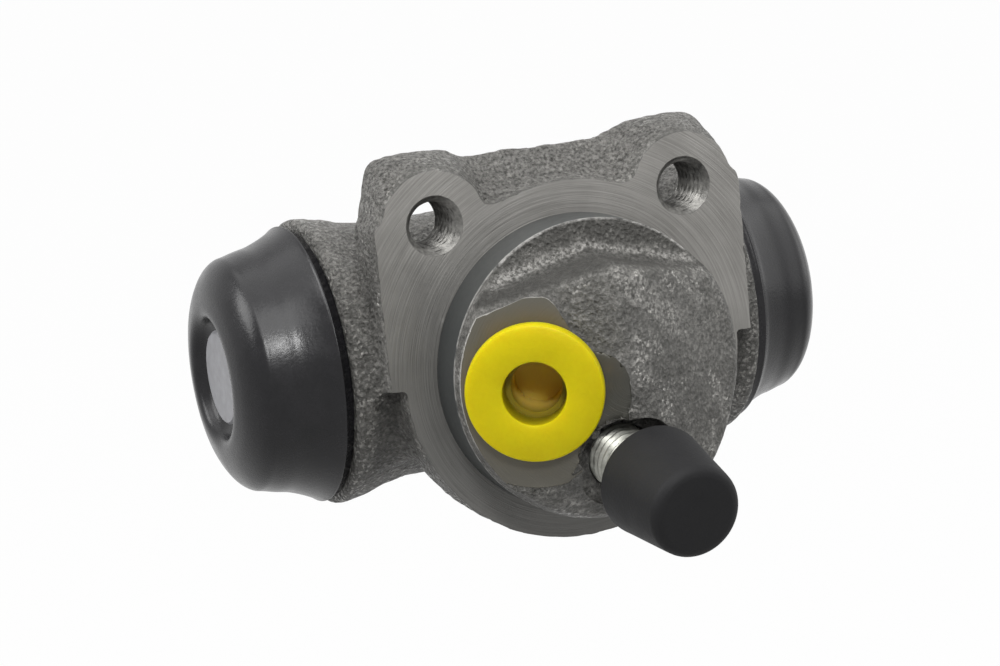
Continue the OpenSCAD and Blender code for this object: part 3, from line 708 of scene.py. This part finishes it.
# Inner radius is the thread, opened by a cone at the mouth; the outer wall is plain
def threadSleeve(b, out):
    along = np.arange(b["start"], b["length"], b["pitch"] / b["perTurn"])
    angle = fullTurn(b["around"])
    inner = b["minorR"] + (b["majorR"] - b["minorR"]) * threadWave(along, angle, b)
    inner = np.maximum(inner, b["mouthR"] + b["start"] - along[:, None])
    r = np.concatenate([inner, np.full_like(inner, b["outerR"])])
    s = np.concatenate([along, along[::-1]])
    return closedGrid(roundGrid(s, r, angle, out)[::-1])


for side, sign in (("left", -1), ("right", 1)):
    sleeve = threadSleeve(boltThread, boltFrame(sign))
    putMesh(side + "_bolt_thread", sleeve, sleeveFinish,
            body="housing", node=None, smoothAngle=30)

# dust boots: bead, tapered wall, dome, rolled mouth and the lip in the piston groove; the far one is a little
# slimmer and sits back further, more so towards its end
boot = dict(
    outer=[(24.06, 14.5), (24.1, 14.78), (24.7, 15.1), (25.05, 15.34), (25.2, 15.36), (25.4, 15.2),
           (26.2, 14.74), (27.4, 14.2), (28.8, 13.7), (30.2, 13.42), (31.6, 13.06), (32.47, 12.84),
           (33.35, 12.19), (34.11, 11.16), (34.71, 9.95), (35.06, 8.75), (35.2, 7.85), (35.12, 7.25),
           (34.86, 6.85), (34.45, 6.6), (33.95, 6.3), (33.5, 5.75)],
    inner=[(33.3, 5.32), (32.94, 5.3), (32.9, 4.62), (31.1, 4.62), (31.06, 5.7), (32.0, 6.3), (33.3, 7.2),
           (33.4, 8.4), (32.9, 9.6), (31.8, 10.7), (30.4, 11.5), (29.2, 12.1), (28.6, 12.28), (27.05, 12.26),
           (27.0, 11.56), (25.5, 11.56), (25.45, 12.26), (24.06, 12.3)],
    around=160, steps=5, slimmer=dict(left=0.0, right=0.045), slimR=(5, 14), slimX=(24, 26),
    settle=dict(left=0.0, right=0.84), settleX=(26, 36), settleR=(5.4, 7), bendFrom=28.8, bendTo=33.5)
bootFinish = rubber("bootRubber", dark=(0.004, 0.004, 0.0048), light=(0.010, 0.0096, 0.011), rough=0.26,
                    coat=0.04, depth=0.02, shine=0.25)


# Closed profile whose free part is narrowed and moved back by smooth steps
def bootProfile(b, side):
    s, r = closedProfile(b).T
    slim = 1 - b["slimmer"][side] * smoothStep(r, *b["slimR"]) * smoothStep(s, *b["slimX"])
    back = b["settle"][side] * smoothStep(s, *b["settleX"]) * smoothStep(r * slim, *b["settleR"])
    return np.stack([s - back, r * slim], 1)


for side, sign in (("left", -1), ("right", 1)):
    surface = turnedSurface(bootProfile(boot, side), boot["around"], boreFrame(sign))
    made = putMesh(side + "_boot", surface, bootFinish,
                   body=None, node=side + "_dust_boot", smoothAngle=40)
    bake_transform(made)

# bleed screw: thread, hexagon and barbed nipple; lengths along its axis from the seat
bleedScrew = dict(threadR=3.5, depth=0.55, pitch=1.0, steep=1.3, flat=0.15, tip=-11.0, cone=-9.0,
                  threadEnd=7.8, fade=(6.6, 7.4), reliefR=2.9, relief=7.9, bare=8.2,
                  hexFlats=3.5, hexBevel=0.97, hexFrom=8.35, hexTo=11.3, hexCornerR=3.45, hexEnd=11.6,
                  neckR=2.5, neckEnd=13.1, barbR=3.1, barbFrom=13.3, barbTo=13.6, endR=2.1, end=16.6,
                  boreR=1.0, thin=0.02, around=72, perTurn=12)
zincFinish = plainMetal("brightZinc", dark=(0.2, 0.2, 0.178), light=(0.36, 0.36, 0.324), rough=0.4, metal=0.7,
                        scale=1.2, depth=0.02)


# Outer radius is a thread that fades out, a six-sided polar outline on the hexagon and plain elsewhere
def bleedScrewSurface(b, out):
    angle = fullTurn(b["around"])
    thread = np.arange(b["cone"], b["threadEnd"], b["pitch"] / b["perTurn"])
    fadeFrom, fadeTo = b["fade"]
    full = np.clip((fadeTo - thread) / (fadeTo - fadeFrom), 0, 1)[:, None]
    cutDepth = threadWave(thread, angle, b) * full + (1 - full) / 2
    # angle from the middle of the nearest flat
    sector = (angle + np.pi / 6) % (np.pi / 3) - np.pi / 6
    hexR = b["hexFlats"] / np.cos(sector)
    rows = [(b["tip"], b["boreR"]), (b["cone"] - b["thin"], b["threadR"] - b["depth"])]
    rows += list(zip(thread, b["threadR"] - b["depth"] * cutDepth))
    rows += [(b["relief"], b["reliefR"]), (b["bare"], b["reliefR"]), (b["bare"], hexR * b["hexBevel"]),
             (b["hexFrom"], hexR), (b["hexTo"], hexR), (b["hexEnd"], np.minimum(hexR, b["hexCornerR"])),
             (b["hexEnd"], b["neckR"]), (b["neckEnd"], b["neckR"]), (b["barbFrom"], b["barbR"]),
             (b["barbTo"], b["barbR"]), (b["end"], b["endR"]), (b["end"], b["boreR"]),
             (b["tip"] + b["thin"], b["boreR"] - b["thin"])]
    s = np.array([along for along, r in rows])
    r = np.stack([np.broadcast_to(r, angle.shape) for along, r in rows])
    return closedGrid(roundGrid(s, r, angle, out))


screw = bleedScrewSurface(bleedScrew, bleedFrame())
putMesh("bleed_screw_threaded", screw, zincFinish,
        body="bleeder", node="bleed_screw", smoothAngle=30)

# cap over the nipple
cap = dict(outer=[(8.0, 4.2), (8.0, 5.65), (8.1, 5.9), (8.35, 5.98), (9.5, 5.84), (12.5, 5.5), (15.5, 5.16),
                  (17.2, 4.96), (17.75, 4.84), (18.2, 4.5), (18.42, 4.05), (18.47, 3.6), (18.47, 2.0),
                  (18.47, 0.02)],
           inner=[(16.7, 0.02), (16.7, 3.16), (11.7, 3.16), (11.7, 4.12), (8.1, 4.12)], around=96, steps=4)
capFinish = rubber("capRubber", dark=(0.005, 0.005, 0.0056), light=(0.010, 0.010, 0.0106), rough=0.62,
                   coat=0.0, depth=0.03, shine=0.18)
putMesh("bleeder_rubber_cap", turnedSurface(closedProfile(cap), cap["around"], bleedFrame()), capFinish,
        body="bleeder_cap", node="bleed_screw_cap", smoothAngle=40)

# transport plug: flange, stepped hollow and shank
plug = dict(outer=[(0.06, 4.5), (0.06, 7.0), (0.14, 7.18), (0.35, 7.25), (1.65, 7.25), (1.92, 7.15),
                   (2.04, 6.9), (2.05, 5.0), (2.05, 3.6), (1.98, 3.38), (1.75, 3.3), (-1.5, 3.24),
                   (-1.55, 2.72), (-6.4, 2.62), (-6.45, 0.02)],
            inner=[(-7.95, 0.02), (-7.95, 3.9), (-7.45, 4.42), (0.04, 4.42)], around=128)
surface = turnedSurface(plug["outer"] + plug["inner"], plug["around"], inletFrame())
putMesh("port_plug_moulded", surface, plugPlastic(castBody, plastic),
        body="port_plug", node="inlet_plug", smoothAngle=32)

# return spring: two halves, one towards each piston
spring = dict(meanR=4.8, wireR=0.48, half=6.6, turns=3, perTurn=36, sides=12, endScale=0.02)
springFinish = plainMetal("springWire", dark=(0.2, 0.2, 0.21), light=(0.34, 0.34, 0.35), rough=0.35,
                          metal=0.9, scale=2.0, depth=0.02)


# A round wire carried along a helix, each end closed by a small ring
def springHalf(b, sign, body=castBody):
    t = np.linspace(0, 1, b["turns"] * b["perTurn"] + 1)[:, None]
    turn = 2 * np.pi * b["turns"] * t
    side = fullTurn(b["sides"])[None]
    r = b["meanR"] + b["wireR"] * np.cos(side)
    x = sign * (b["half"] * t + b["wireR"] * np.sin(side))
    grid = np.stack([x, body["boreDepth"] + sign * r * np.cos(turn), body["boreRise"] + r * np.sin(turn)], -1)
    ends = grid[[0, -1]]
    centres = ends.mean(1, keepdims=True)
    ends = centres + (ends - centres) * b["endScale"]
    return closedGrid(np.concatenate([ends[:1], grid, ends[1:]]))


for side, sign in (("left", -1), ("right", 1)):
    made = putMesh(side + "_spring_half", springHalf(spring, sign), springFinish,
                   body=None, node="return_spring", smoothAngle=60)
    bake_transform(made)

# finishes for the turned and pressed pieces that stay as modelled
insideFinishes = {
    "piston": plainMetal("pistonMetal", dark=(0.21, 0.21, 0.22), light=(0.29, 0.29, 0.305), rough=0.5,
                         metal=0.3, scale=0.9, depth=0.04),
    "piston_cup": rubber("cupRubber", dark=(0.015, 0.015, 0.016), light=(0.03, 0.03, 0.031), rough=0.45,
                         coat=0.1, depth=0.02, shine=0.5),
    "cup_expander": plainMetal("pressedSteel", dark=(0.35, 0.36, 0.37), light=(0.5, 0.51, 0.52), rough=0.38,
                               metal=0.9, scale=0.8, depth=0.02)}
for nodeName, finish in insideFinishes.items():
    for side in ("left_", "right_"):
        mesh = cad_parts[side + nodeName].data
        mesh.materials.clear()
        mesh.materials.append(finish)
print("finishes set")

# studio, in metres; the floor glows white to the camera, and the lamps are soft boxes
view = dict(place=(-0.119955, -0.287019, 0.066266), right=(0.92026, -0.37883, -0.09803),
            up=(0.16424, 0.14655, 0.97547), lens=106.3, sensor=36, clipStart=0.01)
studio = dict(floorZ=-0.085, floorHalf=3, floorTone=(0.5, 0.5, 0.5, 1), floorRough=0.7, floorGlow=0.98,
              white=(1, 1, 1, 1), fill=0.11, target=(0, 0.005, 0))
lamps = dict(
    keyLight=dict(place=(-0.14, -0.53, 0.345), size=(0.11, 0.11), power=2.0),
    topLight=dict(place=(-0.03, -0.09, 0.14), size=(0.14, 0.08), power=0.18),
    overLight=dict(place=(-0.1, 0.05, 0.42), size=(0.45, 0.35), power=0.85),
    leftLight=dict(place=(-0.42, 0.06, 0.33), size=(0.3, 0.25), power=1.8),
    rightLight=dict(place=(0.46, -0.1, 0.24), size=(0.6, 0.6), power=1.3))


# puts an object at a place, turned so that right, up and back are its axes
def placed(made, right, up, back, place):
    made.matrix_world = Matrix(np.vstack([np.column_stack([right, up, back, place]), [0, 0, 0, 1]]).tolist())
    bpy.context.scene.collection.objects.link(made)


def addCamera(v):
    camera = bpy.data.objects.new("camera", bpy.data.cameras.new("camera"))
    camera.data.lens = v["lens"]
    camera.data.sensor_width = v["sensor"]
    camera.data.clip_start = v["clipStart"]
    placed(camera, v["right"], v["up"], np.cross(v["right"], v["up"]), v["place"])
    bpy.context.scene.camera = camera


# 1 for what the camera sees straight, in a reflection or through glass
def whiteRays(tree):
    rays = tree.nodes.new("ShaderNodeLightPath").outputs
    names = ("Is Camera Ray", "Is Glossy Ray", "Is Transmission Ray")
    straight, mirrored, through = (Wire(tree, rays[name]) for name in names)
    return straight.larger(mirrored).larger(through)


def paleFloor(v):
    made = bpy.data.materials.new("paleFloor")
    made.use_nodes = True
    tree = made.node_tree
    shader = tree.nodes["Principled BSDF"]
    feed(shader, {"Base Color": v["floorTone"], "Roughness": v["floorRough"]})
    seen = whiteRays(tree)
    glow = seen.node("ShaderNodeEmission", {}, {"Color": v["white"], "Strength": 1.0})
    plain = Wire(tree, shader.outputs[0])
    both = seen.node("ShaderNodeMixShader", {}, {0: seen * v["floorGlow"], 1: plain, 2: glow})
    feed(tree.nodes["Material Output"], {"Surface": both})
    return made


def addFloor(v):
    half = v["floorHalf"]
    corners = [(x, y, v["floorZ"]) for x, y in ((-half, -half), (half, -half), (half, half), (-half, half))]
    mesh = bpy.data.meshes.new("floor")
    mesh.from_pydata(corners, [], [(0, 1, 2, 3)])
    mesh.materials.append(paleFloor(v))
    floor = bpy.data.objects.new("floor", mesh)
    bpy.context.scene.collection.objects.link(floor)


def addWorld(v):
    world = bpy.data.worlds.new("studio")
    bpy.context.scene.world = world
    world.use_nodes = True
    tree = world.node_tree
    strength = whiteRays(tree) * (1 - v["fill"]) + v["fill"]
    feed(tree.nodes["Background"], {"Color": v["white"], "Strength": strength})


def softBox(name, place, size, power, target):
    lamp = bpy.data.lights.new(name, "AREA")
    lamp.shape = "RECTANGLE"
    lamp.size, lamp.size_y = size
    lamp.energy = power
    back = np.subtract(place, target)
    back /= np.linalg.norm(back)
    right = np.cross((0, 0, 1), back)
    right /= np.linalg.norm(right)
    placed(bpy.data.objects.new(name, lamp), right, np.cross(back, right), back, place)


addCamera(view)
addFloor(studio)
addWorld(studio)
for name, lamp in lamps.items():
    softBox(name, **lamp, target=studio["target"])
bpy.context.scene.view_settings.view_transform = "Standard"
print("studio set")
